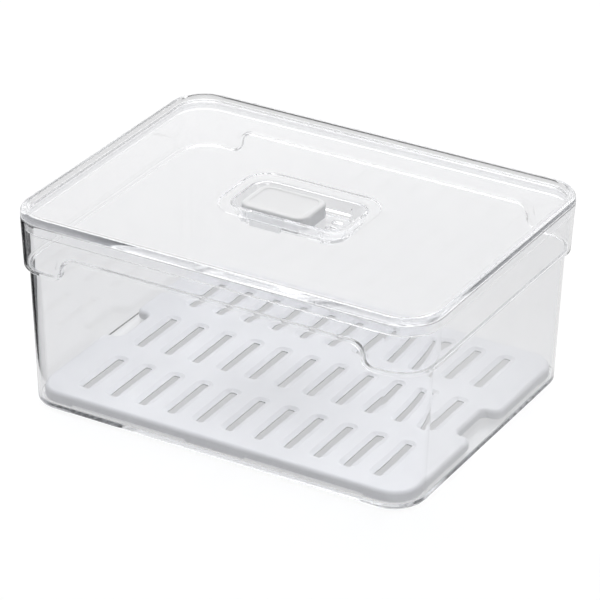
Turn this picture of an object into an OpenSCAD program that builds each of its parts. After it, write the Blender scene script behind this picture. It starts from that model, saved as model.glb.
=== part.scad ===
// Clear fridge bin with a lift-off lid, a sliding vent and a slotted drain tray.
// Units are millimetres. The origin is under the middle of the bin, at the
// level that the feet stand on. +X runs along the length, +Z is up.

/* [Bin] */
// Length over the rim
bin_l = 290; // [250:1:340]
// Width over the rim
bin_w = 217.6; // [210:0.2:260]
// Height of the rim above the surface the bin stands on
bin_h = 127.2; // [110:0.2:180]
// Thickness of the walls
wall = 1.7; // [1.5:0.1:2.4]
// Thickness of the floor
floor_t = 2.5; // [2:0.1:3]
// Radius of the upright corners, seen from above
corner_r = 25; // [22:0.5:28]
// How far each end leans inward from the ledge down to the floor
end_lean = 3.5; // [1:0.1:4]
// How far each long side leans inward from the ledge down to the floor
side_lean = 0.5; // [0.3:0.1:4]

/* [Collar] */
// Height of the stepped-out collar at the corners and ends
collar_h = 33.8; // [28:0.2:36]
// Height of the collar over the middle of the long sides
arch_h = 19.2; // [16:0.2:22]
// Distance from each end of the bin to the S-shaped rise of the ledge
arch_in = 41; // [38:0.5:60]
// How far the collar stands out beyond the wall below it
collar_step = 3.4; // [3:0.1:4]

/* [Lid] */
// Height of the lid's edge above the bin's rim
lid_edge_h = 4.8; // [4:0.1:7]
// Width of the raised rim that runs round the lid
rim_w = 4.5; // [4:0.1:6]
// Depth of the panel below the raised rim
panel_drop = 4.1; // [3:0.1:4.1]
// Depth of the plug skirt below the bin's rim
skirt_drop = 7.7; // [5:0.1:10]

/* [Vent] */
// Length of the vent slider
slider_l = 47.4; // [40:0.2:50]
// Width of the vent slider
slider_w = 33.6; // [28:0.2:34]
// Height of the vent slider
slider_h = 9.1; // [7:0.1:9.4]
// Travel of the vent slider from open to closed
vent_travel = 22.4; // [18:0.2:22.4]

/* [Drain tray] */
// Gap between the tray and the bin's walls at the floor
tray_gap = 2.5; // [1:0.1:3]
// Height of the tray's top above the bin's floor
tray_h = 7.5; // [7:0.1:12]
// Distance from one slot to the next along the length
col_pitch = 20.8; // [18:0.1:26]
// Distance from one row of slots to the next
row_pitch = 63.2; // [55:0.1:64]

/* [Hidden] */
$fn = 64;
eps = 0.01;

// Bin levels and plan sizes
foot_h = 1;
foot_inset = 1.6;
foot_w = 2.2;
foot_run_x = 33;
foot_run_y = 29;
floor_top = foot_h + floor_t;
ledge_z = bin_h - collar_h;
arch_z = bin_h - arch_h;
arch_r = (arch_z - ledge_z) / 2;
arch_half = bin_l / 2 - arch_in;
rim_lean_x = 1.8;
rim_lean_y = 0.2;
collar_l = bin_l - 2 * rim_lean_x;
collar_w = bin_w - 2 * rim_lean_y;
waist_l = collar_l - 2 * collar_step;
waist_w = collar_w - 2 * collar_step;
base_l = waist_l - 2 * end_lean;
base_w = waist_w - 2 * side_lean;
base_r = corner_r - collar_step;

// Lid levels
seat_gap = 0.1;
plug_gap = 0.8;
skirt_t = 2;
panel_t = 2.2;
lid_bottom = bin_h + seat_gap;
lid_top = bin_h + lid_edge_h;
panel_top = lid_top - panel_drop;
panel_bottom = panel_top - panel_t;
skirt_bottom = bin_h - skirt_drop;
skirt_inset = wall + plug_gap;

// Vent well: a shallow step in the panel, then a mouth that narrows downward
step_l = 94;
step_w = 61;
step_r = 16.5;
step_d = 0.6;
mouth_l = 78;
mouth_w = 41;
well_t = 2;
well_depth = 9.9;
well_floor = panel_top - step_d - well_depth;
well_floor_t = 2;
well_rim_h = 0.8;
well_bottom = well_floor - well_floor_t - well_rim_h;
pocket_l = slider_l + vent_travel + 1.2;
pocket_w = slider_w + 1.6;
pocket_r = 9.5;
guide_h = 1.2;
guide_bite = 0.5;
guide_half = 26;
stop_w = 1;
stop_h = 6;
stop_out = 0.4;
stop_depth = 2;
hole_l = 7.6;
hole_w = 3.6;
hole_pitch = 8.2;
hole_x = pocket_l / 2 - 13;

// Vent slider, drawn in its open place at the -X end of the well
slide_gap = 0.1;
slider_x = -vent_travel / 2;
slider_r = 8;
slider_z = well_floor + slide_gap;
slider_wall = 1.8;
dish_l = slider_l - 8;
dish_w = slider_w - 7;
dish_d = 0.5;
lug_l = 21.4;
lug_x = slider_x - 2.1;
lug_gap = 0.3;
lug_reach = pocket_w / 2 + well_t + 0.6;
lug_bottom = well_bottom - 0.4;

// Drain tray
tray_l = base_l - 2 * (wall + tray_gap);
tray_w = base_w - 2 * (wall + tray_gap);
tray_r = base_r - wall - tray_gap;
tray_z = floor_top + slide_gap;
tray_top = floor_top + tray_h;
tray_edge_r = 2.5;
plate_t = 2.2;
skirt_wall = 2;
tray_skirt_z = floor_top + 1.5;
tray_foot_x = 28.5;
tray_foot_y = 26;
mid_foot_l = 42;
slot_l = 42;
slot_w = 4.8;
slot_r = 1.3;
slot_land = 0.8;
recess_l = 48;
recess_w = 12;
end_margin = 27;
side_margin = 8;
slot_cols = 1 + 2 * floor((tray_l / 2 - end_margin) / col_pitch);
slot_rows = 1 + 2 * floor((tray_w / 2 - recess_l / 2 - side_margin) / row_pitch);
notch_half = 18;
notch_in = 11.5;
notch_inner_r = 5;
notch_mouth_r = 6;

// Rounded rectangle, centred, with arcs of radius r at its corners
module plan(l, w, r) {
    square([l - 2 * r, w], center = true);
    square([l, w - 2 * r], center = true);
    for (sx = [-1, 1], sy = [-1, 1])
        translate([sx * (l / 2 - r), sy * (w / 2 - r)])
            circle(r);
}

// Upright plate with a rounded plan, from z0 to z1
module plate(l, w, r, z0, z1) {
    translate([0, 0, z0])
        linear_extrude(z1 - z0)
            plan(l, w, r);
}

// Block whose plan grows from l0 x w0 at z0 to l1 x w1 at z1
module leaning(l0, w0, l1, w1, r, z0, z1) {
    translate([0, 0, z0])
        linear_extrude(z1 - z0, scale = [l1 / l0, w1 / w0], slices = 1, $fn = 48)
            plan(l0, w0, r);
}

// Shape of length l and width w with round ends, running along Y
module stadium(l, w) {
    square([w, l - w], center = true);
    for (s = [-1, 1])
        translate([0, s * (l - w) / 2])
            circle(w / 2);
}

// Outline in X and Z of the part of the long side that the collar leaves bare.
// Its top is the raised ledge, and each end is an S made of two quarter arcs.
// A grow above zero moves the whole outline outward by that much.
module arch(grow) {
    steps = 12;
    lower_r = arch_r - grow;
    upper_r = arch_r + grow;
    mid_z = ledge_z + arch_r;
    upper = [for (i = [0:steps]) let (a = 90 * i / steps)
        [arch_half - arch_r + upper_r * cos(a), mid_z + upper_r * sin(a)]];
    lower = [for (i = [0:steps]) let (a = 270 - 90 * i / steps)
        [arch_half + arch_r + lower_r * cos(a), mid_z + lower_r * sin(a)]];
    right = concat([[arch_half + arch_r, 0]], lower, upper);
    left = [for (i = [len(right) - 1:-1:0]) [-right[i][0], right[i][1]]];
    polygon(concat(right, left));
}

// The arch outline as a bar through both long sides
module arch_bar(grow) {
    rotate([90, 0, 0])
        linear_extrude(bin_w + 40, center = true)
            arch(grow);
}

// Outer shape of the tub, or its cavity when inset is the wall thickness
module tub(inset, z0, z1) {
    r_low = base_r - inset;
    r_top = corner_r - inset;
    leaning(base_l - 2 * inset, base_w - 2 * inset,
            waist_l - 2 * inset, waist_w - 2 * inset, r_low, z0, ledge_z + inset);
    plate(waist_l - 2 * inset, waist_w - 2 * inset, r_low,
          ledge_z + inset - eps, arch_z + inset + 1);
    difference() {
        leaning(collar_l - 2 * inset, collar_w - 2 * inset,
                bin_l - 2 * inset, bin_w - 2 * inset, r_top, ledge_z + inset, z1);
        arch_bar(inset);
    }
}

// L-shaped ridge under each corner
module corner_feet() {
    outer_l = base_l - 2 * foot_inset;
    outer_w = base_w - 2 * foot_inset;
    outer_r = base_r - foot_inset;
    intersection() {
        difference() {
            plate(outer_l, outer_w, outer_r, 0, foot_h + eps);
            plate(outer_l - 2 * foot_w, outer_w - 2 * foot_w, outer_r - foot_w, -1, foot_h + 1);
        }
        for (sx = [-1, 1], sy = [-1, 1])
            translate([sx * (base_l - foot_run_x) / 2, sy * (base_w - foot_run_y) / 2, 0])
                cube([foot_run_x, foot_run_y, 3 * foot_h], center = true);
    }
}

module bin() {
    color([0.9, 0.93, 0.96, 0.35])
        union() {
            difference() {
                tub(0, foot_h, bin_h);
                tub(wall, floor_top, bin_h + eps);
            }
            corner_feet();
        }
}

// Outside of the vent well
module well_body() {
    leaning(pocket_l + 2 * well_t, pocket_w + 2 * well_t,
            mouth_l + 2 * well_t, mouth_w + 2 * well_t,
            pocket_r + well_t, well_bottom, panel_bottom + eps);
}

// Inside of the vent well, open at the top
module well_pocket() {
    leaning(pocket_l, pocket_w, mouth_l, mouth_w, pocket_r, well_floor, panel_top);
    plate(pocket_l - 2, pocket_w - 2, pocket_r - 1, well_bottom - 1, well_floor - well_floor_t);
}

// Low slots along both long walls of the well that guide the slider's lugs
module guide_slots() {
    slot_z0 = well_bottom - 1;
    slot_z1 = well_floor + guide_h;
    slot_depth = 2 * well_t + guide_bite;
    for (s = [-1, 1])
        translate([0, s * (pocket_w / 2 - guide_bite + slot_depth / 2), (slot_z0 + slot_z1) / 2])
            cube([2 * guide_half, slot_depth, slot_z1 - slot_z0], center = true);
}

// Air holes in the floor of the well
module air_holes() {
    for (i = [-1:1])
        translate([hole_x, i * hole_pitch, well_floor - well_floor_t - 1])
            rotate([0, 0, 90])
                linear_extrude(well_floor_t + 2)
                    stadium(hole_l, hole_w);
}

// Slim upright ribs at the ends of the guide slots, on the long walls of the well
module stop_ribs() {
    rib_y = pocket_w / 2 - stop_out + stop_depth / 2;
    for (sx = [-1, 1], sy = [-1, 1])
        translate([sx * (guide_half + stop_w / 2), sy * rib_y, well_floor + stop_h / 2])
            cube([stop_w, stop_depth, stop_h], center = true);
}

// Rim, sunk panel and plug skirt of the lid
module lid_shell() {
    skirt_l = bin_l - 2 * skirt_inset;
    skirt_w = bin_w - 2 * skirt_inset;
    skirt_r = corner_r - skirt_inset;
    difference() {
        union() {
            plate(bin_l, bin_w, corner_r, lid_bottom, lid_top);
            plate(skirt_l, skirt_w, skirt_r, skirt_bottom, lid_bottom + eps);
        }
        plate(bin_l - 2 * rim_w, bin_w - 2 * rim_w, corner_r - rim_w, panel_top, lid_top + 1);
        plate(skirt_l - 2 * skirt_t, skirt_w - 2 * skirt_t, skirt_r - skirt_t,
              skirt_bottom - 1, panel_bottom);
        plate(step_l, step_w, step_r, panel_top - step_d, lid_top);
    }
}

module lid() {
    color([0.9, 0.93, 0.96, 0.35])
        union() {
            difference() {
                union() {
                    lid_shell();
                    well_body();
                }
                well_pocket();
                guide_slots();
                air_holes();
            }
            stop_ribs();
        }
}

// Bar of length lug_l on one side of the slider, from y0 to y1 and z0 to z1
module lug_bar(side, y0, y1, z0, z1) {
    translate([lug_x, side * (y0 + y1) / 2, (z0 + z1) / 2])
        cube([lug_l, y1 - y0, z1 - z0], center = true);
}

// Lugs at the foot of the slider: an arm over the floor's edge, then a foot in the guide slot
module slider_lugs() {
    top = well_floor + guide_h - lug_gap;
    arm_y = slider_w / 2 - slider_wall;
    foot_y = pocket_w / 2 - guide_bite + lug_gap;
    for (s = [-1, 1]) {
        lug_bar(s, arm_y, lug_reach, slider_z, top);
        lug_bar(s, foot_y, lug_reach, lug_bottom, top);
    }
}

module vent_slider() {
    cap_top = slider_z + slider_h;
    edge = 1.2;
    color([0.93, 0.94, 0.96])
        difference() {
            union() {
                translate([slider_x, 0, 0]) {
                    plate(slider_l, slider_w, slider_r, slider_z, cap_top - edge);
                    plate(slider_l - edge, slider_w - edge, slider_r - edge / 2,
                          slider_z, cap_top - edge / 3);
                    plate(slider_l - 2 * edge, slider_w - 2 * edge, slider_r - edge, slider_z, cap_top);
                }
                slider_lugs();
            }
            translate([slider_x, 0, 0]) {
                plate(dish_l, dish_w, slider_r - 3, cap_top - dish_d, cap_top + 1);
                plate(slider_l - 2 * slider_wall, slider_w - 2 * slider_wall, slider_r - slider_wall,
                      slider_z - 1, cap_top - dish_d - slider_wall);
            }
        }
}

// Finger notch at the +X edge, where edge_x is. Inner corners are hollow arcs of
// radius r_in, and the mouth's corners are rounded off with radius r_out.
module notch(edge_x, depth, half, r_in, r_out) {
    translate([edge_x, 0])
        plan(2 * depth, 2 * half, r_in);
    difference() {
        translate([edge_x - r_out, -half - r_out])
            square([2 * r_out, 2 * (half + r_out)]);
        for (s = [-1, 1])
            translate([edge_x - r_out, s * (half + r_out)])
                circle(r_out);
    }
}

// Outline of the tray, moved inward by inset, with a notch at each end
module tray_plan(inset) {
    l = tray_l - 2 * inset;
    difference() {
        plan(l, tray_w - 2 * inset, tray_r - inset);
        for (turn = [0, 180])
            rotate(turn)
                notch(l / 2, notch_in, notch_half + inset, notch_inner_r + inset, notch_mouth_r - inset);
    }
}

// One sloped slot recess, cut from the tray's top down to a narrow slot
module slot_cut() {
    slope_h = plate_t - slot_land;
    run = recess_l - recess_w;
    translate([0, 0, tray_top - plate_t - 1])
        linear_extrude(plate_t + 1)
            plan(slot_w, slot_l, slot_r);
    translate([0, run / 2, tray_top - slope_h])
        rotate([90, 0, 0])
            linear_extrude(run)
                polygon([[-slot_w / 2, 0], [slot_w / 2, 0], [recess_w / 2, slope_h],
                         [recess_w / 2, slope_h + 1], [-recess_w / 2, slope_h + 1],
                         [-recess_w / 2, slope_h]]);
    for (s = [-1, 1])
        translate([0, s * run / 2, tray_top - slope_h])
            cylinder(r1 = slot_w / 2, r2 = recess_w / 2, h = slope_h + eps);
}

module slot_grid() {
    for (i = [0:slot_cols - 1], j = [0:slot_rows - 1])
        translate([(i - (slot_cols - 1) / 2) * col_pitch, (j - (slot_rows - 1) / 2) * row_pitch, 0])
            slot_cut();
}

// Blocks that keep the skirt's full depth at the corners and mid sides
module tray_foot_zones() {
    for (sx = [-1, 1], sy = [-1, 1])
        translate([sx * (tray_l - tray_foot_x) / 2, sy * (tray_w - tray_foot_y) / 2, 0])
            cube([tray_foot_x, tray_foot_y, 60], center = true);
    for (sy = [-1, 1])
        translate([0, sy * tray_w / 2, 0])
            cube([mid_foot_l, 20, 60], center = true);
}

module drain_tray() {
    color([0.86, 0.88, 0.92])
        difference() {
            union() {
                translate([0, 0, tray_skirt_z])
                    linear_extrude(tray_top - tray_edge_r - tray_skirt_z)
                        tray_plan(0);
                translate([0, 0, tray_top - tray_edge_r - eps])
                    linear_extrude(tray_edge_r * 0.6)
                        tray_plan(tray_edge_r * 0.2);
                translate([0, 0, tray_top - tray_edge_r - eps])
                    linear_extrude(tray_edge_r + eps)
                        tray_plan(tray_edge_r * 0.6);
                intersection() {
                    translate([0, 0, tray_z])
                        linear_extrude(tray_skirt_z - tray_z + eps)
                            tray_plan(0);
                    tray_foot_zones();
                }
            }
            translate([0, 0, tray_z - 1])
                linear_extrude(tray_top - plate_t - tray_z + 1)
                    tray_plan(skirt_wall);
            slot_grid();
        }
}

bin();
lid();
vent_slider();
drain_tray();
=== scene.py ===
import math

import bmesh
import bpy
import numpy as np
from mathutils import Matrix, Vector
from mathutils.geometry import delaunay_2d_cdt


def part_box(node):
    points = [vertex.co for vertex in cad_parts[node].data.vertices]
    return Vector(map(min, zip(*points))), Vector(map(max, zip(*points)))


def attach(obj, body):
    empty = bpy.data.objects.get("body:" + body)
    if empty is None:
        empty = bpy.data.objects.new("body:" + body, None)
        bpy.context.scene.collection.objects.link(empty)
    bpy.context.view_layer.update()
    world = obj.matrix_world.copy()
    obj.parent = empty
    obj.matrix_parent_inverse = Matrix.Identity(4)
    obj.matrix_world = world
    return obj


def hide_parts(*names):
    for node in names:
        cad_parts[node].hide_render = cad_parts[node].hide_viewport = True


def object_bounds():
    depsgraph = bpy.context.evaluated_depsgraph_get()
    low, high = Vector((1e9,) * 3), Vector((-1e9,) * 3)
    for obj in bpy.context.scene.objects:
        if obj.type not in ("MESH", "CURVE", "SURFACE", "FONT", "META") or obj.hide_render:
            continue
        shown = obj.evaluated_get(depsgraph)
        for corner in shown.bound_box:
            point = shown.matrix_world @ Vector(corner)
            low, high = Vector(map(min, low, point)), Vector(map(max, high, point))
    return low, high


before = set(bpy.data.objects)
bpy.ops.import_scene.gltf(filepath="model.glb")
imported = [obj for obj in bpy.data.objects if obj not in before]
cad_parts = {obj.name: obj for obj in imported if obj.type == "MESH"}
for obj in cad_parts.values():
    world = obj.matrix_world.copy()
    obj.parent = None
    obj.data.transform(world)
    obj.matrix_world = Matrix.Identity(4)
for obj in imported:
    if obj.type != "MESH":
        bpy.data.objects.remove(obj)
SIZE_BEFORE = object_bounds()
MM = 0.001


# ---------------------------------------------------------------- mesh tools

class Shell:
    """Collects rings of points, in mm, and the faces that join them."""

    def __init__(self):
        self.points = []
        self.faces = []

    def ring(self, points):
        start = len(self.points)
        self.points += [tuple(float(c) for c in p) for p in points]
        return list(range(start, len(self.points)))

    def bridge(self, a, b):
        n = len(a)
        self.faces += [(a[i], a[(i + 1) % n], b[(i + 1) % n], b[i]) for i in range(n)]

    def loft(self, rows, first=None):
        """Joins rows of points one after the other, from ring first when it is given."""
        rings = [first] if first else []
        rings += [self.ring(row) for row in rows]
        for a, b in zip(rings, rings[1:]):
            self.bridge(a, b)
        return rings[-1]

    def patch(self, outer, holes=()):
        """Fills the flat area between an outer ring and the rings of its holes."""
        loops = [outer, *holes]
        ids = [i for loop in loops for i in loop]
        bounds, start = [], 0
        for loop in loops:
            bounds.append(list(range(start, start + len(loop))))
            start += len(loop)
        flat = [Vector(self.points[i][:2]) for i in ids]
        _, _, faces, source, _, _ = delaunay_2d_cdt(flat, [], bounds, 2, 1e-6)
        self.faces += [tuple(ids[source[v][0]] for v in face) for face in faces]

    def grid(self, ring, corners):
        """Fills a flat ring with a grid of quads that runs between four of its points."""
        n = len(ring)
        runs = []
        for a, b in zip(corners, corners[1:] + corners[:1]):
            count = (b - a) % n
            runs.append([ring[(a + i) % n] for i in range(count + 1)])
        low, right, high, left = runs[0], runs[1], runs[2][::-1], runs[3][::-1]
        pts = {i: np.array(self.points[i]) for i in ring}
        rows = [low]
        for j in range(1, len(left) - 1):
            v = j / (len(left) - 1)
            row = [left[j]]
            for i in range(1, len(low) - 1):
                u = i / (len(low) - 1)
                edge = (1 - v) * pts[low[i]] + v * pts[high[i]]
                edge = edge + (1 - u) * pts[left[j]] + u * pts[right[j]]
                flat = (1 - u) * ((1 - v) * pts[low[0]] + v * pts[high[0]])
                flat = flat + u * ((1 - v) * pts[low[-1]] + v * pts[high[-1]])
                row += self.ring([edge - flat])
            rows.append(row + [right[j]])
        rows.append(high)
        for a, b in zip(rows, rows[1:]):
            self.faces += [(a[i], a[i + 1], b[i + 1], b[i]) for i in range(len(a) - 1)]

    def build(self, name):
        mesh = bpy.data.meshes.new(name)
        mesh.from_pydata([[c * MM for c in p] for p in self.points], [], self.faces)
        work = bmesh.new()
        work.from_mesh(mesh)
        bmesh.ops.remove_doubles(work, verts=work.verts, dist=1e-7)
        bmesh.ops.recalc_face_normals(work, faces=work.faces)
        work.to_mesh(mesh)
        work.free()
        mesh.polygons.foreach_set("use_smooth", [True] * len(mesh.polygons))
        obj = bpy.data.objects.new(name, mesh)
        bpy.context.scene.collection.objects.link(obj)
        return obj


class Columns:
    """Places round a rounded rectangle: a pull towards the corner centres, a shift and a way out."""

    def __init__(self, xs, ys, arc_steps, absolute=False):
        pull, shift, out, side = [], [], [], []

        def straight(values, axis, sign):
            for v in values:
                p, s, o = [0.0, 0.0], [0.0, 0.0], [0.0, 0.0]
                (s if absolute else p)[axis] = v
                p[1 - axis] = sign
                o[1 - axis] = sign
                pull.append(p)
                shift.append(s)
                out.append(o)
                side.append(axis)

        def arc(sx, sy, start):
            for i in range(arc_steps + 1):
                a = math.radians(start + 90 * i / arc_steps)
                pull.append([sx, sy])
                shift.append([0.0, 0.0])
                out.append([math.cos(a), math.sin(a)])
                side.append(2)

        self.corners = []
        halves = ((-1, 1, ((1, -1, -90), (1, 1, 0))), (1, -1, ((-1, 1, 90), (-1, -1, 180))))
        for sign, way, arcs in halves:
            straight([way * x for x in xs], 0, sign)
            self.corners.append(len(pull) + arc_steps // 2)
            arc(*arcs[0])
            straight([way * y for y in ys], 1, -sign)
            self.corners.append(len(pull) + arc_steps // 2)
            arc(*arcs[1])
        self.pull, self.shift, self.out = np.array(pull), np.array(shift), np.array(out)
        self.side = np.array(side)
        self.count = len(pull)

    def row(self, a, b, r, z, shift=None):
        """Points at half sizes a and b, corner radius r and height z, each one value or one a column."""
        a, b, r, z = (np.broadcast_to(np.asarray(v, float), (self.count,)) for v in (a, b, r, z))
        core = np.stack([a - r, b - r], 1)
        flat = self.pull * core + (self.shift if shift is None else shift) + self.out * r[:, None]
        return np.column_stack([flat, z])


def arc_points(cx, cy, r, start, end, steps):
    """Points of an arc in a section, as (x, y) pairs."""
    angles = [math.radians(start + (end - start) * i / steps) for i in range(steps + 1)]
    return [(cx + r * math.cos(a), cy + r * math.sin(a)) for a in angles]


def even(n, reach=1.0):
    """n places spread evenly inside -reach to reach, ends left out."""
    return [reach * (2 * (i + 1) / (n + 1) - 1) for i in range(n)]


def oval(x, y, a, b, r, z, steps=5, along=(0, 6)):
    """Ring of a small rounded rectangle about x, y, with half sizes a along X and b along Y."""
    flat = []
    for k, (sx, sy) in enumerate(((1, 1), (-1, 1), (-1, -1), (1, -1))):
        for i in range(steps + 1):
            t = math.radians(90 * k + 90 * i / steps)
            flat.append((sx * (a - r) + r * math.cos(t), sy * (b - r) + r * math.sin(t)))
        shares = [1 - 2 * (i + 1) / (along[k % 2] + 1) for i in range(along[k % 2])]
        flat += [(sx * a, sy * (b - r) * v) if k % 2 else (sx * (a - r) * v, sy * b) for v in shares]
    return [(x + u, y + v, z) for u, v in flat]


def cut(obj, cutter, operation):
    """Cuts or joins a helper solid, then drops the helper."""
    step = obj.modifiers.new("cut", "BOOLEAN")
    step.operation = operation
    step.object = cutter
    step.solver = "EXACT"
    done = bpy.data.meshes.new_from_object(obj.evaluated_get(bpy.context.evaluated_depsgraph_get()))
    obj.modifiers.clear()
    obj.data = done
    bpy.data.objects.remove(cutter)
    return obj


def block(x0, x1, y0, y1, z0, z1, r=0.15):
    """Small block with softened edges, in mm, as a helper solid."""
    work = bmesh.new()
    size = Matrix.Diagonal(((x1 - x0) * MM, (y1 - y0) * MM, (z1 - z0) * MM, 1))
    place = Matrix.Translation(((x0 + x1) / 2 * MM, (y0 + y1) / 2 * MM, (z0 + z1) / 2 * MM))
    bmesh.ops.create_cube(work, size=1, matrix=place @ size)
    bmesh.ops.bevel(work, geom=work.edges[:], offset=r * MM, segments=2, affect="EDGES", profile=0.5)
    mesh = bpy.data.meshes.new("helper")
    work.to_mesh(mesh)
    work.free()
    obj = bpy.data.objects.new("helper", mesh)
    bpy.context.scene.collection.objects.link(obj)
    return obj


def dress(obj, body, material):
    """Gives a piece its body, its material and normals that keep flat faces flat."""
    obj.data.materials.clear()
    obj.data.materials.append(material)
    level = obj.modifiers.new("normals", "WEIGHTED_NORMAL")
    level.weight = 50
    level.keep_sharp = True
    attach(obj, body)
    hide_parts(body)
    return obj


def smooth(obj):
    """Smooths a cut piece again, and keeps its hard edges hard."""
    obj.data.polygons.foreach_set("use_smooth", [True] * len(obj.data.polygons))
    obj.data.set_sharp_from_angle(angle=math.radians(40))


def limits(node):
    """Lowest and highest corner of a CAD node in mm."""
    low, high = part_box(node)
    return low / MM, high / MM


# ---------------------------------------------------------------- bin

WALL = 1.7
CORNER_R = 25.0
BASE_R = 21.6
FLOOR_BOTTOM = 1.0
FLOOR_TOP = 3.5
LEDGE_DROP = 33.8
ARCH_DROP = 19.2
ARCH_IN = 41
COLLAR_STEP = 3.4
COLLAR_LEAN = (1.8, 0.2)
WALL_LEAN = (3.5, 0.5)
FOOT_REACH = (33, 29)


class Tub:
    """Sizes of the bin, taken from its CAD box and its mouldings."""

    def __init__(self):
        high = limits("bin")[1]
        self.top = high.z
        self.rim = (high.x, high.y)
        self.ledge = self.top - LEDGE_DROP
        self.arch = self.top - ARCH_DROP
        self.collar = (high.x - COLLAR_LEAN[0], high.y - COLLAR_LEAN[1])
        self.waist = (self.collar[0] - COLLAR_STEP, self.collar[1] - COLLAR_STEP)
        self.base = (self.waist[0] - WALL_LEAN[0], self.waist[1] - WALL_LEAN[1])
        self.s_r = (self.arch - self.ledge) / 2
        self.s_mid = high.x - ARCH_IN

    def lower(self, z, inset):
        """Half sizes and radius of the wall below the ledge, at height z."""
        z0 = FLOOR_TOP if inset else FLOOR_BOTTOM
        t = np.clip((z - z0) / (self.ledge + inset - z0), 0, 1)
        a = self.base[0] + (self.waist[0] - self.base[0]) * t - inset
        b = self.base[1] + (self.waist[1] - self.base[1]) * t - inset
        return np.stack([a, b, np.full_like(a, BASE_R - inset)], 1)

    def upper(self, z, inset):
        """Half sizes and radius of the collar, at height z."""
        z0 = self.ledge + inset
        t = np.clip((z - z0) / (self.top - z0), 0, 1)
        a = self.collar[0] + (self.rim[0] - self.collar[0]) * t - inset
        b = self.collar[1] + (self.rim[1] - self.collar[1]) * t - inset
        return np.stack([a, b, np.full_like(a, CORNER_R - inset)], 1)


def bin_columns(tub, s_steps=20):
    """Columns of the bin, each with the place and the slope of the ledge on it."""
    inner, outer = tub.s_mid - tub.s_r, tub.s_mid + tub.s_r
    s_places = [inner + 2 * tub.s_r * i / s_steps for i in range(s_steps + 1)]
    half = [inner * (i + 0.5) / 7 for i in range(7)] + s_places
    xs = [-x for x in reversed(half)] + half
    foot_end = tub.base[1] - FOOT_REACH[1]
    ys = [foot_end * t for t in (-0.84, -0.6, -0.36, -0.12, 0.12, 0.36, 0.6, 0.84)]
    ys = [-foot_end - 0.8, -foot_end, *ys, foot_end, foot_end + 0.8]
    cols = Columns(xs, ys, 14, absolute=True)
    x = cols.shift[:, 0].copy()
    level = np.where((cols.side == 0) & (np.abs(x) < inner + 1e-6), tub.arch, tub.ledge)
    slope = np.tile([0.0, 1.0], (cols.count, 1))
    edge = np.column_stack([x, level])
    for k in range(cols.count):
        t = (abs(x[k]) - inner) / (outer - inner)
        if cols.side[k] != 0 or not 0 <= t <= 1:
            continue
        sign = math.copysign(1, x[k])
        a = math.radians(90 * (1 - 2 * t) if t <= 0.5 else 180 + 90 * (2 * t - 1))
        turn = 1 if t <= 0.5 else -1
        centre = inner if t <= 0.5 else outer
        edge[k] = [sign * (centre + tub.s_r * math.cos(a)), tub.ledge + tub.s_r * (1 + math.sin(a))]
        slope[k] = [sign * turn * math.cos(a), turn * math.sin(a)]
    cols.edge, cols.slope = edge, slope
    return cols


def tub_row(tub, cols, inset, z, x, share):
    """One ring of the bin's wall. share is 0 on the wall below the ledge and 1 on the collar."""
    size = tub.lower(z, inset) * (1 - share) + tub.upper(z, inset) * share
    shift = cols.shift.copy()
    along = cols.side == 0
    shift[along, 0] = x[along]
    return cols.row(size[:, 0], size[:, 1], size[:, 2], z, shift)


def wall_rows(tub, cols, inset, z_low, z_high, r_low, r_high):
    """Rings of one face of the wall from the floor fillet up to the rim fillet."""
    step = tub.collar[0] - tub.waist[0]
    reach_low, reach_high = (3.8, 3.8) if not inset else (2.0, 4.8)
    rows = []
    start = cols.edge - cols.slope * reach_low
    for t in (0, 0.04, 0.3, 0.6, 0.88):
        x = cols.shift[:, 0] * (1 - t) + start[:, 0] * t
        rows.append(tub_row(tub, cols, inset, z_low * (1 - t) + start[:, 1] * t, x, 0.0))
    fillet = [(inset - r_low + r_low * math.sin(a), (r_low - r_low * math.cos(a)) / step)
              for a in (math.radians(v) for v in (0, 22.5, 45, 67.5, 90))]
    fillet += [(inset, 0.5)]
    fillet += [(inset + r_high - r_high * math.cos(a), 1 - (r_high - r_high * math.sin(a)) / step)
               for a in (math.radians(v) for v in (0, 22.5, 45, 67.5, 90))]
    for d, share in [(-reach_low, 0.0), *fillet, (reach_high, 1.0)]:
        at = cols.edge + cols.slope * d
        rows.append(tub_row(tub, cols, inset, at[:, 1], at[:, 0], share))
    end = cols.edge + cols.slope * reach_high
    for t in (0.3, 0.65, 0.95, 1):
        x = end[:, 0] * (1 - t) + cols.shift[:, 0] * t
        rows.append(tub_row(tub, cols, inset, end[:, 1] * (1 - t) + z_high * t, x, 1.0))
    return rows


def foot_rows(tub, cols):
    """Rings under the floor, with the L-shaped ridge under each corner, from inside to outside."""
    a, b = tub.base
    far_x = np.where(cols.side == 0, np.abs(cols.shift[:, 0]) - (a - FOOT_REACH[0]), 9)
    far_y = np.where(cols.side == 1, np.abs(cols.shift[:, 1]) - (b - FOOT_REACH[1]), 9)
    on = np.clip(np.minimum(far_x, far_y) / 1.4 + 0.5, 0, 1)
    on = on * on * (3 - 2 * on)
    ridge = [(9, 0), (5, 0), (3.85, 0), (3.7, 0.7), (3.45, 0.94), (3.15, 1), (2.25, 1), (1.95, 0.94),
             (1.7, 0.7), (1.55, 0)]
    return [cols.row(a - i, b - i, BASE_R - i, FLOOR_BOTTOM * (1 - drop * on)) for i, drop in ridge]


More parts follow.
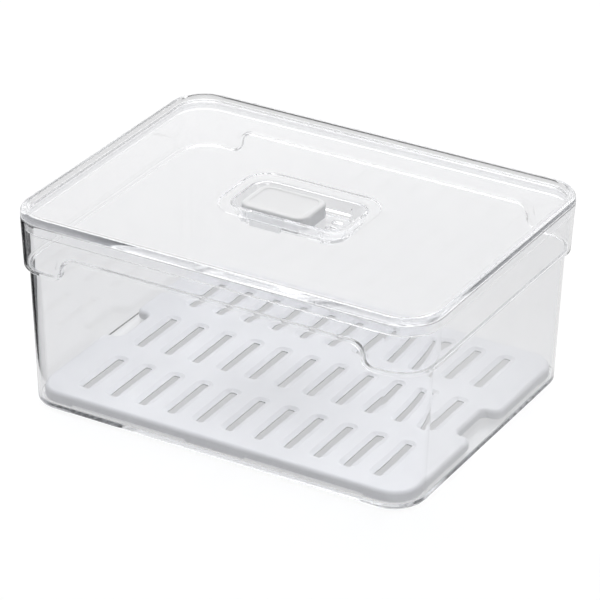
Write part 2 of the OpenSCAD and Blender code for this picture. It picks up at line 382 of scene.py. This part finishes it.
def make_bin(material):
    tub = Tub()
    cols = bin_columns(tub)
    a, b = tub.base
    edge_r, floor_r, lip_r = 1.2, 1.6, 0.6
    shell = Shell()
    rows = foot_rows(tub, cols)
    for x, z in arc_points(edge_r, edge_r, edge_r, 270, 180, 5)[:-1]:
        rows.append(cols.row(a - x, b - x, BASE_R - x, FLOOR_BOTTOM + z))
    rows += wall_rows(tub, cols, 0.0, FLOOR_BOTTOM + edge_r, tub.top - lip_r, 0.7, 0.9)
    a, b = tub.rim
    for x, z in arc_points(lip_r, -lip_r, lip_r, 180, 90, 4)[1:]:
        rows.append(cols.row(a - x, b - x, CORNER_R - x, tub.top + z))
    for x, z in arc_points(WALL - lip_r, -lip_r, lip_r, 90, 0, 4)[:-1]:
        rows.append(cols.row(a - x, b - x, CORNER_R - x, tub.top + z))
    rows += wall_rows(tub, cols, WALL, FLOOR_TOP + floor_r, tub.top - lip_r, 0.9, 0.7)[::-1]
    a, b = (v - WALL for v in tub.base)
    for x, z in arc_points(floor_r, floor_r, floor_r, 180, 270, 6)[1:]:
        rows.append(cols.row(a - x, b - x, BASE_R - WALL - x, FLOOR_TOP + z))
    rows.append(cols.row(a - 6, b - 6, BASE_R - WALL - 6, FLOOR_TOP))
    first = shell.ring(rows[0])
    last = shell.loft(rows[1:], first)
    shell.grid(first, cols.corners)
    shell.grid(last, cols.corners)
    return dress(shell.build("bin_tub"), "bin", material)


# ---------------------------------------------------------------- lid

POCKET = (35.5, 17.6, 9.5)
MOUTH = (39.0, 20.5, 10.4)
WELL_T = 2.0
RECESS = (47.0, 30.5, 16.5)
RECESS_DEPTH = 0.6
WELL_DEPTH = 9.9
WELL_FLOOR_T = 2.8
LID_EDGE_H = 4.7
PANEL_DROP = 4.1
PANEL_T = 2.2
PANEL_IN = 6.3


def mix(a, b, t):
    return tuple(u * (1 - t) + v * t for u, v in zip(a, b))


def lid_rim_rows(cols, a, b, bottom, top, panel):
    """Rings of the lid from the panel's top over the rim, down the skirt and up to the panel's underside."""
    section = []
    section += arc_points(PANEL_IN, panel + 0.9, 0.9, 270, 180, 5)
    section += arc_points(3.2, top - 2.1, 2.2, 0, 90, 7)[:-1]
    section += arc_points(3.2, top - 3.1, 3.1, 90, 180, 9)[2:]
    section += arc_points(0.6, bottom + 0.6, 0.6, 180, 270, 4)
    section += arc_points(1.9, bottom - 0.6, 0.6, 90, 0, 4)
    section += arc_points(3.0, 120.0, 0.5, 180, 270, 4)
    section += arc_points(4.0, 120.0, 0.5, 270, 360, 4)
    section += arc_points(5.3, panel - 3.0, 0.8, 180, 90, 5)
    return [cols.row(a - x, b - x, CORNER_R - x, z) for x, z in section]


def make_lid(material):
    high = limits("lid")[1]
    a, b, top = high.x, high.y, high.z
    bottom, panel = top - LID_EDGE_H, top - PANEL_DROP
    under, step = panel - PANEL_T, panel - RECESS_DEPTH
    well_floor = step - WELL_DEPTH
    cols = Columns(even(9), even(7), 12)
    shell = Shell()

    def at(size, grow, z):
        return cols.row(size[0] + grow, size[1] + grow, size[2] + grow, z)

    edge = (a - PANEL_IN, b - PANEL_IN, CORNER_R - PANEL_IN)
    rows = [at(mix(RECESS, edge, t), 0, panel) for t in (0.02, 0.3, 0.65, 0.97)]
    bevel = ((-0.32, step), (-0.24, step + 0.04), (0.34, panel - 0.04), (0.42, panel))
    rows = [at(RECESS, g, z) for g, z in bevel] + rows
    rows = [at(mix(MOUTH, RECESS, t), 0, step) for t in (0.12, 0.5, 0.95)] + rows
    mouth_edge = mix(POCKET, MOUTH, 0.995)
    rows = [at(mouth_edge, g, z) for g, z in arc_points(0.7, step - 0.7, 0.7, 180, 90, 4)] + rows
    wall = [(t, well_floor + (step - well_floor) * t) for t in (0.07, 0.3, 0.6, 0.9)]
    rows = [at(mix(POCKET, MOUTH, t * 0.98), 0, z) for t, z in wall] + rows
    rows = [at(POCKET, g, z) for g, z in arc_points(-0.6, well_floor + 0.6, 0.6, 270, 350, 4)] + rows
    rows += lid_rim_rows(cols, a, b, bottom, top, panel)
    outer_low = tuple(v + WELL_T for v in POCKET)
    outer_high = tuple(v + WELL_T for v in MOUTH)
    rows += [at(mix(edge, outer_high, t), 0, under) for t in (0.03, 0.35, 0.7, 0.97)]
    rows += [at(outer_high, g, z) for g, z in arc_points(0.7, under - 0.7, 0.7, 90, 180, 4)]
    well_low = well_floor - WELL_FLOOR_T
    side = [(t, under + (well_low - under) * t) for t in (0.2, 0.5, 0.8, 0.95)]
    rows += [at(mix(outer_high, outer_low, t), 0, z) for t, z in side]
    rows += [at(outer_low, g, z) for g, z in arc_points(-0.4, well_low + 0.4, 0.4, 350, 270, 3)]
    inner_low = tuple(v - 1 for v in POCKET)
    rows += [at(inner_low, g, z) for g, z in arc_points(0.3, well_low + 0.3, 0.3, 270, 180, 3)]
    rows += [at(inner_low, g, well_floor - 2) for g in (0, -1)]
    first = shell.ring(rows[0])
    last = shell.loft(rows[1:], first)
    tops, lows = [], []
    for i in (-1, 0, 1):
        hole = [(0.35, 0), (0.12, -0.1), (0, -0.35), (0, -1.65), (0.12, -1.9), (0.3, -2)]
        rings = [oval(POCKET[0] - 13, i * 8.2, 3.8 + g, 1.8 + g, 1.75 + g, well_floor + z, 5, (2, 0))
                 for g, z in hole]
        tops.append(shell.ring(rings[0]))
        lows.append(shell.loft(rings[1:], tops[-1]))
    shell.patch(first, tops)
    shell.patch(last, lows)
    lid = shell.build("lid_cover")
    for s in (-1, 1):
        y0, y1 = sorted((s * (POCKET[1] - 0.5), s * (POCKET[1] + 6)))
        cut(lid, block(-26, 26, y0, y1, well_low - 3, well_floor + 1.2), "DIFFERENCE")
        y0, y1 = sorted((s * (POCKET[1] - 0.4), s * (POCKET[1] + 1.6)))
        for x in (-27, 26):
            cut(lid, block(x, x + 1, y0, y1, well_floor - 0.3, well_floor + 6), "UNION")
    smooth(lid)
    return dress(lid, "lid", material)


# ---------------------------------------------------------------- vent slider

CAP_H = 9.1
CAP_HALF_W = 16.8
CAP_R = 8


def make_slider(material):
    low, high = limits("vent_slider")
    lug_z, top = low.z, high.z
    floor = top - CAP_H
    centre, half_l = (low.x + high.x) / 2, (high.x - low.x) / 2
    cols = Columns(even(9), even(6), 10)
    shell = Shell()
    dish = (half_l - 4, CAP_HALF_W - 3.5, 5.0)

    def at(a, b, r, z):
        return cols.row(a, b, r, z) + np.array([centre, 0, 0])

    section = arc_points(0.4, floor + 0.4, 0.4, 270, 180, 3) + arc_points(1.5, top - 1.5, 1.5, 180, 90, 8)
    rows = [at(half_l - x, CAP_HALF_W - x, CAP_R - x, z) for x, z in section]
    rows.append(at(dish[0] + 0.8, dish[1] + 0.8, dish[2] + 0.8, top - 0.01))
    bowl = [(0.3, 0.02), (0.05, 0.12), (-0.15, 0.3), (-0.45, 0.4), (-1.2, 0.44), (-3.0, 0.47), (-4.8, 0.49)]
    rows += [at(dish[0] + g, dish[1] + g, max(dish[2] + g, 1.2), top - d) for g, d in bowl]
    under = top - 0.5 - 1.8
    hollow = arc_points(2.3, under - 0.5, 0.5, 90, 180, 3) + arc_points(1.5, floor + 0.3, 0.3, 0, -90, 3)
    inside = [at(half_l - 6, CAP_HALF_W - 6, 3.0, under)]
    inside += [at(half_l - x, CAP_HALF_W - x, CAP_R - x, z) for x, z in hollow]
    first = shell.ring(inside[0])
    last = shell.loft(inside[1:] + rows, first)
    shell.grid(first, cols.corners)
    shell.grid(last, cols.corners)
    slider = shell.build("vent_slider_cap")
    lug_mid, lug_half, arm_top = centre - 2.1, 10.7, floor + 0.8
    for s in (-1, 1):
        y0, y1 = sorted((s * (CAP_HALF_W - 1.2), s * high.y))
        cut(slider, block(lug_mid - lug_half, lug_mid + lug_half, y0, y1, floor + 0.05, arm_top), "UNION")
        y0, y1 = sorted((s * (high.y - 2.8), s * high.y))
        cut(slider, block(lug_mid - lug_half, lug_mid + lug_half, y0, y1, lug_z, arm_top), "UNION")
    smooth(slider)
    return dress(slider, "vent_slider", material)


# ---------------------------------------------------------------- drain tray

TRAY_R = 17.4
TRAY_EDGE_R = 2.5
PLATE_T = 2.2
FOOT_H = 1.4
SLOT_COLUMNS, COLUMN_PITCH = 11, 20.8
SLOT_ROWS, ROW_PITCH = 3, 63.2
TRAY_FOOT_REACH = (28.5, 26)
MIDDLE_FOOT = 21.0


def tray_outline(a, b, r):
    """Half of the tray's outline as (point, way out) pairs, from the front's middle to the back's."""
    half, depth, r_in, r_out = 18.0, 11.5, 5.0, 6.0
    run = []
    mid, corner = MIDDLE_FOOT, a - TRAY_FOOT_REACH[0]
    xs = [0, 7, 14, mid - 0.4, mid + 0.4, *np.linspace(mid + 9, corner - 9, 6), corner - 0.4, corner + 0.4]
    run += [((x, -b), (0, -1)) for x in (*xs, corner + 6, a - r)]
    for i in range(1, 11):
        t = math.radians(-90 + 9 * i)
        run.append(((a - r + r * math.cos(t), -b + r + r * math.sin(t)), (math.cos(t), math.sin(t))))
    foot = b - TRAY_FOOT_REACH[1]
    ys = [-foot - 0.4, -foot + 0.4, *np.linspace(-foot + 9, -half - r_out - 9, 4), -half - r_out]
    run += [((a, y), (1, 0)) for y in ys]
    for i in range(1, 9):
        t = math.radians(90 * i / 8)
        run.append(((a - r_out + r_out * math.cos(t), -half - r_out + r_out * math.sin(t)),
                    (math.cos(t), math.sin(t))))
    cx, cy = a - depth + r_in, -half + r_in
    for i in range(0, 9):
        t = math.radians(90 * i / 8)
        out = (math.sin(t), math.cos(t))
        run.append(((cx - r_in * out[0], cy - r_in * out[1]), out))
    run += [((a - depth, y), (1, 0)) for y in (-7, 0)]
    mirror = [((x, -y), (nx, -ny)) for (x, y), (nx, ny) in reversed(run[:-1])]
    return run + mirror


def slot_rows(plate_t):
    """Sizes and depths of the rings from the edge of a sloped recess down through its slot."""
    recess, slot, land, round_in = (6.1, 24.1, 5.4), (2.4, 21.0, 1.3), 0.8, 0.08
    slope = plate_t - land
    rows = []
    for t in (0, 0.03, 0.055, round_in, 0.4, 0.7, 0.92):
        share = t * t / (2 * round_in) if t < round_in else t - round_in / 2
        rows.append((mix(recess, slot, t), -slope * share))
    edges = arc_points(0.25, -slope - 0.05, 0.25, 90, 180, 3)
    edges += arc_points(0.15, 0.15 - plate_t, 0.15, 180, 270, 2)
    for x, z in edges:
        rows.append((tuple(v + x for v in slot), z))
    return rows


def make_tray(material):
    low, high = limits("drain_tray")
    a, b, top, foot = high.x, high.y, high.z, low.z
    half_run = tray_outline(a, b, TRAY_R)[:-1]
    run = half_run + [((-x, -y), (-nx, -ny)) for (x, y), (nx, ny) in half_run]
    place, out = np.array([p for p, _ in run]), np.array([n for _, n in run])
    x, y = np.abs(place[:, 0]), np.abs(place[:, 1])
    corner_foot = (x > a - TRAY_FOOT_REACH[0]) & (y > b - TRAY_FOOT_REACH[1])
    middle_foot = (x < MIDDLE_FOOT) & (y > b - 1)
    skirt = np.where(corner_foot | middle_foot, foot, foot + FOOT_H)
    plate = top - PLATE_T

    def at(inset, z):
        return np.column_stack([place - out * inset, np.broadcast_to(z, (len(place),))])

    rows = [at(x, z) for x, z in arc_points(TRAY_EDGE_R, top - TRAY_EDGE_R, TRAY_EDGE_R, 90, 180, 8)]
    rows += [at(0, skirt * t + (top - TRAY_EDGE_R) * (1 - t)) for t in (0.3, 0.6)]
    rows += [at(x, skirt + z) for x, z in arc_points(0.4, 0.4, 0.4, 180, 270, 3)]
    rows += [at(x, skirt + z) for x, z in arc_points(1.6, 0.4, 0.4, 270, 360, 3)]
    rows += [at(x, z) for x, z in arc_points(2.8, plate - 0.8, 0.8, 180, 90, 4)]
    shell = Shell()
    first = shell.ring(rows[0])
    last = shell.loft(rows[1:], first)
    tops, lows = [], []
    fall = slot_rows(top - plate)
    for i in range(SLOT_COLUMNS):
        for j in range(SLOT_ROWS):
            slot_x, slot_y = (i - SLOT_COLUMNS // 2) * COLUMN_PITCH, (j - SLOT_ROWS // 2) * ROW_PITCH
            rings = [oval(slot_x, slot_y, *size, top + z) for size, z in fall]
            tops.append(shell.ring(rings[0]))
            lows.append(shell.loft(rings[1:], tops[-1]))
    shell.patch(first, tops)
    shell.patch(last, lows)
    return dress(shell.build("drain_tray_plate"), "drain_tray", material)


# ---------------------------------------------------------------- materials

# colour sockets of the mix node, whose names are shared by its other types
MIX_SHARE, MIX_LOW, MIX_HIGH, MIX_COLOUR = 0, 6, 7, 2


class Graph:
    """Short way to write a node material."""

    def __init__(self, name):
        self.material = bpy.data.materials.new(name)
        self.material.use_nodes = True
        self.tree = self.material.node_tree
        self.tree.nodes.clear()
        self.out = self.add("ShaderNodeOutputMaterial")
        self.coord = self.add("ShaderNodeTexCoord").outputs["Object"]

    def add(self, kind, inputs=None, **props):
        node = self.tree.nodes.new(kind)
        for key, value in props.items():
            setattr(node, key, value)
        for key, value in (inputs or {}).items():
            if isinstance(value, bpy.types.NodeSocket):
                self.tree.links.new(value, node.inputs[key])
            else:
                node.inputs[key].default_value = value
        return node

    def noise(self, scale, detail=4.0, rough=0.55):
        inputs = {"Vector": self.coord, "Scale": scale, "Detail": detail, "Roughness": rough}
        return self.add("ShaderNodeTexNoise", inputs).outputs["Fac"]

    def spread(self, value, low, high, start=0.3, end=0.7):
        inputs = {"Value": value, "From Min": start, "From Max": end, "To Min": low, "To Max": high}
        return self.add("ShaderNodeMapRange", inputs).outputs["Result"]

    def tint(self, share, low, high):
        inputs = {MIX_SHARE: share, MIX_LOW: (*low, 1), MIX_HIGH: (*high, 1)}
        return self.add("ShaderNodeMix", inputs, data_type="RGBA").outputs[MIX_COLOUR]

    def bump(self, height, strength, distance, normal=None):
        inputs = {"Height": height, "Strength": strength, "Distance": distance}
        if normal is not None:
            inputs["Normal"] = normal
        return self.add("ShaderNodeBump", inputs).outputs["Normal"]


def clear_plastic():
    g = Graph("clear_plastic")
    haze = g.noise(90, 3)
    colour = g.tint(g.spread(haze, 0, 1), (0.972, 0.974, 0.982), (0.985, 0.986, 0.992))
    rough = g.spread(haze, 0.0, 0.022)
    wave = g.bump(g.noise(14, 2), 0.05, 0.0006)
    glass = g.add("ShaderNodeBsdfPrincipled", {
        "Base Color": colour, "Roughness": rough, "IOR": 1.52, "Transmission Weight": 1.0, "Normal": wave})
    clear = g.add("ShaderNodeBsdfTransparent", {"Color": (0.93, 0.94, 0.955, 1)})
    ray = g.add("ShaderNodeLightPath").outputs["Is Shadow Ray"]
    shown = g.add("ShaderNodeMixShader")
    g.tree.links.new(ray, shown.inputs[0])
    g.tree.links.new(glass.outputs[0], shown.inputs[1])
    g.tree.links.new(clear.outputs[0], shown.inputs[2])
    g.tree.links.new(shown.outputs[0], g.out.inputs["Surface"])
    depth = g.add("ShaderNodeVolumeAbsorption", {"Color": (0.66, 0.68, 0.72, 1), "Density": 2.0})
    g.tree.links.new(depth.outputs[0], g.out.inputs["Volume"])
    return g.material


def moulded_white(name, low, high, rough, grain, depth, wave=0.05):
    """Opaque moulded plastic with a fine grain, faint clouds and a little scatter below its surface."""
    g = Graph(name)
    cloud = g.noise(35, 5)
    speck = g.noise(1400, 3)
    colour = g.tint(g.spread(cloud, 0, 1), low, high)
    finish = g.spread(g.noise(160, 6), rough[0], rough[1])
    normal = g.bump(speck, grain, 0.00004, g.bump(g.noise(22, 2), wave, 0.0002))
    body = g.add("ShaderNodeBsdfPrincipled", {
        "Base Color": colour, "Roughness": finish, "IOR": 1.49, "Normal": normal,
        "Subsurface Weight": depth, "Subsurface Radius": (1.0, 1.0, 1.0), "Subsurface Scale": 0.002})
    g.tree.links.new(body.outputs[0], g.out.inputs["Surface"])
    return g.material


# ---------------------------------------------------------------- studio

VIEW_TURN, VIEW_RISE, VIEW_ROLL = 29.88, 27.75, 0.57
VIEW_SHIFT = (0.00088, -0.00399, 2.20135)
LENS = 212.2
CARD_GAP = 18
CARD_RAYS = (0.442, 0.447)
BOUNCES = 128


def make_floor():
    mesh = bpy.data.meshes.new("floor")
    s = 3.0
    mesh.from_pydata([(-s, -s, 0), (s, -s, 0), (s, s, 0), (-s, s, 0)], [], [(0, 1, 2, 3)])
    floor = bpy.data.objects.new("floor", mesh)
    floor.location.z = -0.0002
    bpy.context.scene.collection.objects.link(floor)
    g = Graph("floor_paint")
    paint = g.add("ShaderNodeBsdfDiffuse", {"Color": (0.3, 0.3, 0.3, 1)})
    straight = g.add("ShaderNodeLightPath").outputs["Is Camera Ray"]
    power = g.add("ShaderNodeMapRange", {"Value": straight, "To Min": 0.55, "To Max": 0.8}).outputs["Result"]
    glow = g.add("ShaderNodeEmission", {"Color": (1, 1, 1, 1), "Strength": power})
    both = g.add("ShaderNodeAddShader")
    g.tree.links.new(paint.outputs[0], both.inputs[0])
    g.tree.links.new(glow.outputs[0], both.inputs[1])
    g.tree.links.new(both.outputs[0], g.out.inputs["Surface"])
    mesh.materials.append(g.material)


def make_card():
    """Black card edge-on at the left, a painted dark refraction: seen only where the left corner bends the
    view outward.
    It is clear for rays flatter than the main view, so it doesn't show from lower angles."""
    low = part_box("bin")[0]
    turn = math.radians(VIEW_TURN)
    across = Vector((math.cos(turn), math.sin(turn), 0))
    start = Vector((low.x, low.y, 0)) + Vector((CORNER_R, CORNER_R, 0)) * MM
    start -= across * (CORNER_R + CARD_GAP) * MM
    ahead = Vector((-math.sin(turn + 0.1), math.cos(turn + 0.1), 0))
    up = Vector((0, 0, 0.16))
    near, far = start - ahead * 0.02, start + ahead * 0.34
    mesh = bpy.data.meshes.new("card")
    mesh.from_pydata([near, far, far + up, near + up], [], [(0, 1, 2, 3)])
    card = bpy.data.objects.new("card", mesh)
    bpy.context.scene.collection.objects.link(card)
    # painted dark refraction: black for steep rays only, clear for flatter ones, hidden from camera, diffuse
    # and shadow rays
    g = Graph("card_black")
    way = g.add("ShaderNodeSeparateXYZ", {"Vector": g.add("ShaderNodeNewGeometry").outputs["Incoming"]})
    steep = g.spread(way.outputs["Z"], 0, 1, *CARD_RAYS)
    card_mix = g.add("ShaderNodeMixShader", {0: steep})
    g.tree.links.new(g.add("ShaderNodeBsdfTransparent").outputs[0], card_mix.inputs[1])
    g.tree.links.new(g.add("ShaderNodeBsdfDiffuse", {"Color": (0.02, 0.02, 0.022, 1)}).outputs[0],
                     card_mix.inputs[2])
    g.tree.links.new(card_mix.outputs[0], g.out.inputs["Surface"])
    mesh.materials.append(g.material)
    card.visible_camera = False
    card.visible_diffuse = False
    card.visible_shadow = False


def make_world():
    """Dim room with a pale backdrop behind the object, white when seen directly."""
    world = bpy.data.worlds.new("studio")
    bpy.context.scene.world = world
    world.use_nodes = True
    tree = world.node_tree
    tree.nodes.clear()
    new, link = tree.nodes.new, tree.links.new
    coord = new("ShaderNodeTexCoord").outputs["Generated"]

    def band(way, stops):
        facing = new("ShaderNodeVectorMath")
        facing.operation = "DOT_PRODUCT"
        facing.inputs[1].default_value = Vector(way).normalized()
        ramp = new("ShaderNodeValToRGB")
        ramp.color_ramp.elements[0].position = stops[0][0]
        ramp.color_ramp.elements[1].position = stops[-1][0]
        for position, _ in stops[1:-1]:
            ramp.color_ramp.elements.new(position)
        for element, (_, value) in zip(ramp.color_ramp.elements, stops):
            element.color = (value, value, value, 1)
        link(coord, facing.inputs[0])
        link(facing.outputs["Value"], ramp.inputs[0])
        return ramp.outputs[0]

    def times(a, b):
        both = new("ShaderNodeVectorMath")
        both.operation = "MULTIPLY"
        link(a, both.inputs[0])
        link(b, both.inputs[1])
        return both.outputs[0]

    behind = band((-0.5, 0.86, 0), ((0.0, 0.2), (0.2, 0.3), (0.5, 0.6), (0.8, 1.3)))
    height = band((0, 0, 1), ((0.0, 1.35), (0.38, 1.35), (0.5, 0.7), (0.8, 0.5), (1.0, 0.4)))
    room = times(behind, height)
    direct = new("ShaderNodeLightPath").outputs["Is Camera Ray"]
    seen = new("ShaderNodeMix")
    seen.data_type = "RGBA"
    seen.inputs[MIX_HIGH].default_value = (1, 1, 1, 1)
    link(direct, seen.inputs[MIX_SHARE])
    link(room, seen.inputs[MIX_LOW])
    sky = new("ShaderNodeBackground")
    link(seen.outputs[MIX_COLOUR], sky.inputs["Color"])
    link(sky.outputs[0], new("ShaderNodeOutputWorld").inputs["Surface"])


def softbox(name, place, size, power):
    light = bpy.data.lights.new(name, "AREA")
    light.shape = "RECTANGLE"
    light.size, light.size_y = size
    light.energy = power
    lamp = bpy.data.objects.new(name, light)
    lamp.location = place
    lamp.rotation_euler = (Vector((0, 0, 0.06)) - Vector(place)).to_track_quat("-Z", "Y").to_euler()
    bpy.context.scene.collection.objects.link(lamp)


def make_camera():
    """Camera turned from the front and raised above level by the view angles, in degrees."""
    low, high = SIZE_BEFORE
    centre = (Vector(low) + Vector(high)) / 2
    az, el, roll = (math.radians(v) for v in (VIEW_TURN, VIEW_RISE, VIEW_ROLL))
    back = Vector((math.sin(az) * math.cos(el), -math.cos(az) * math.cos(el), math.sin(el)))
    right = Vector((math.cos(az), math.sin(az), 0))
    up = back.cross(right)
    across = right * math.cos(roll) + up * math.sin(roll)
    upward = up * math.cos(roll) - right * math.sin(roll)
    data = bpy.data.cameras.new("camera")
    data.sensor_width = 36
    data.lens = LENS
    data.clip_end = 20
    camera = bpy.data.objects.new("camera", data)
    turn = Matrix((across, upward, back)).transposed().to_4x4()
    place = centre + across * VIEW_SHIFT[0] + upward * VIEW_SHIFT[1] + back * VIEW_SHIFT[2]
    camera.matrix_world = Matrix.Translation(place) @ turn
    bpy.context.scene.collection.objects.link(camera)
    bpy.context.scene.camera = camera


def make_studio():
    make_floor()
    make_card()
    make_world()
    softbox("back_box", (-0.35, 0.6, 1.7), (1.4, 1.2), 16)
    softbox("front_box", (0.9, -1.5, 1.0), (0.7, 0.7), 3.8)
    softbox("left_box", (-1.3, -0.9, 0.9), (0.5, 0.9), 0.5)
    softbox("right_box", (1.2, 0.3, 0.8), (0.4, 0.8), 1.25)
    make_camera()
    scene = bpy.context.scene
    scene.view_settings.view_transform = "Standard"
    scene.cycles.max_bounces = BOUNCES
    scene.cycles.transmission_bounces = BOUNCES
    scene.cycles.glossy_bounces = BOUNCES


def main():
    clear = clear_plastic()
    make_bin(clear)
    make_lid(clear)
    make_slider(moulded_white("vent_white", (0.93, 0.935, 0.95), (0.94, 0.945, 0.96),
                              rough=(0.36, 0.39), grain=0.04, depth=0.3, wave=0.01))
    make_tray(moulded_white("tray_white", (0.73, 0.73, 0.745), (0.76, 0.76, 0.775),
                            rough=(0.42, 0.55), grain=0.12, depth=0.1))
    make_studio()


main()
